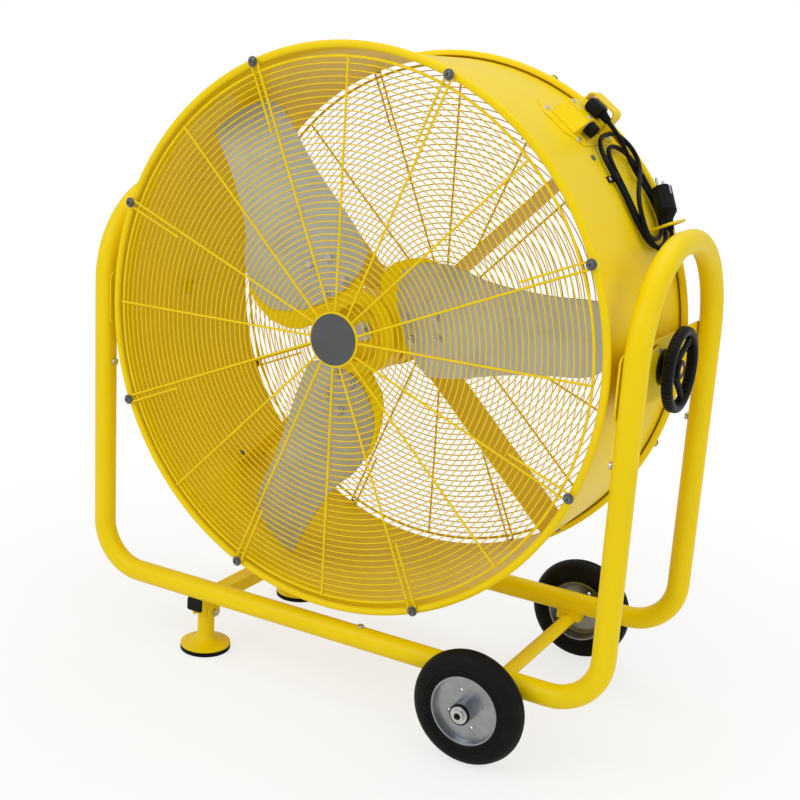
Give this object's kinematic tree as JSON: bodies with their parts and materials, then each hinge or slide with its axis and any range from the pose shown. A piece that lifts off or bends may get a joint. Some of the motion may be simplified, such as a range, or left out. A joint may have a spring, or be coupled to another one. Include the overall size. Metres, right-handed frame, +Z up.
{
  "type": "drum fan",
  "caption": "Large drum fan between wire grilles, tilting in a bent tube frame with side hand nuts, a wheeled end, a footed end and a wound supply cord.",
  "frame": {"origin": "on the floor under the drum's centre", "axes": "+Z up, +X towards the wheels, the fan blows towards -Y"},
  "size_m": [1.082, 0.584, 1.1513],
  "materials": {
    "yellow_paint": "gloss powder coat",
    "zinc_steel": "zinc plated",
    "motor_steel": "laminated",
    "aluminium_sheet": "mill",
    "tyre_rubber": "matte",
    "black_rubber": "satin",
    "black_plastic": "moulded",
    "grey_plastic": "moulded"
  },
  "bodies": {
    "frame": {"frame_half_wheel_end": "yellow_paint", "frame_half_foot_end": "yellow_paint", "frame_screws": "zinc_steel", "cross_rail": "yellow_paint", "rail_caps": "black_plastic", "feet": "yellow_paint", "foot_pads": "black_rubber", "axle_tube": "yellow_paint", "axle": "zinc_steel", "axle_spacers_and_rings": "zinc_steel", "side_plates": "yellow_paint", "leg_bolts": "zinc_steel", "pivot_bushes": "black_plastic"},
    "drum": {"drum_shell": "yellow_paint", "grille_front": "yellow_paint", "grille_rear": "yellow_paint", "grille_hub_cover": "grey_plastic", "grille_bolts": "zinc_steel", "pivot_studs": "yellow_paint", "pivot_washers": "black_plastic", "motor_housing": "yellow_paint", "motor_bell_front": "yellow_paint", "motor_bell_rear": "yellow_paint", "motor_bearings": "zinc_steel", "stator": "motor_steel", "motor_arms": "yellow_paint", "motor_screws": "zinc_steel", "cable_duct": "black_plastic", "motor_lead": "black_rubber", "control_base_plate": "yellow_paint", "control_box": "yellow_paint", "control_box_lid": "yellow_paint", "control_screws": "zinc_steel", "switch_plate": "zinc_steel", "switch_body": "black_plastic", "terminal_block": "grey_plastic", "cord_bracket": "yellow_paint", "cord_hook": "yellow_paint", "cord_clip": "black_plastic", "supply_cord": "black_rubber", "cord_boot": "black_rubber", "plug_body": "black_rubber", "plug_pins_and_clips": "zinc_steel"},
    "rotor": {"shaft": "zinc_steel", "rotor_core": "motor_steel", "fan_hub": "yellow_paint", "blade_1": "aluminium_sheet", "blade_2": "aluminium_sheet", "blade_3": "aluminium_sheet", "hub_bolts": "zinc_steel"},
    "wheel_front": {"tyre_front": "tyre_rubber", "wheel_rim_front": "zinc_steel", "wheel_bushes_front": "black_plastic"},
    "wheel_rear": {"tyre_rear": "tyre_rubber", "wheel_rim_rear": "zinc_steel", "wheel_bushes_rear": "black_plastic"},
    "hand_nut_wheel_end": {"handwheel_wheel_end": "black_plastic"},
    "hand_nut_foot_end": {"handwheel_foot_end": "black_plastic"},
    "switch": {"switch_knob": "black_plastic"}
  },
  "joints": [
    {"name": "drum_tilt", "type": "hinge", "parent": "frame", "child": "drum", "pos_m": [0, 0, 0.665], "axis": [1, 0, 0], "range_deg": [-90, 30]},
    {"name": "fan_spin", "type": "hinge", "parent": "drum", "child": "rotor", "pos_m": [0, -0.02, 0.665], "axis": [0, 1, 0], "continuous": true},
    {"name": "wheel_spin_front", "type": "hinge", "parent": "frame", "child": "wheel_front", "pos_m": [0.317, -0.25, 0.1], "axis": [0, 1, 0], "continuous": true},
    {"name": "wheel_spin_rear", "type": "hinge", "parent": "frame", "child": "wheel_rear", "pos_m": [0.317, 0.25, 0.1], "axis": [0, 1, 0], "continuous": true},
    {"name": "hand_nut_turn_wheel_end", "type": "hinge", "parent": "drum", "child": "hand_nut_wheel_end", "pos_m": [0.523, 0, 0.665], "axis": [1, 0, 0], "range_deg": [-90, 90]},
    {"name": "hand_nut_turn_foot_end", "type": "hinge", "parent": "drum", "child": "hand_nut_foot_end", "pos_m": [-0.523, 0, 0.665], "axis": [1, 0, 0], "range_deg": [-90, 90]},
    {"name": "switch_turn", "type": "hinge", "parent": "drum", "child": "switch", "pos_m": [0.32324, 0.04, 1.03226], "axis": [0.796, 0, -0.6053], "range_deg": [0, 90]}
  ]
}
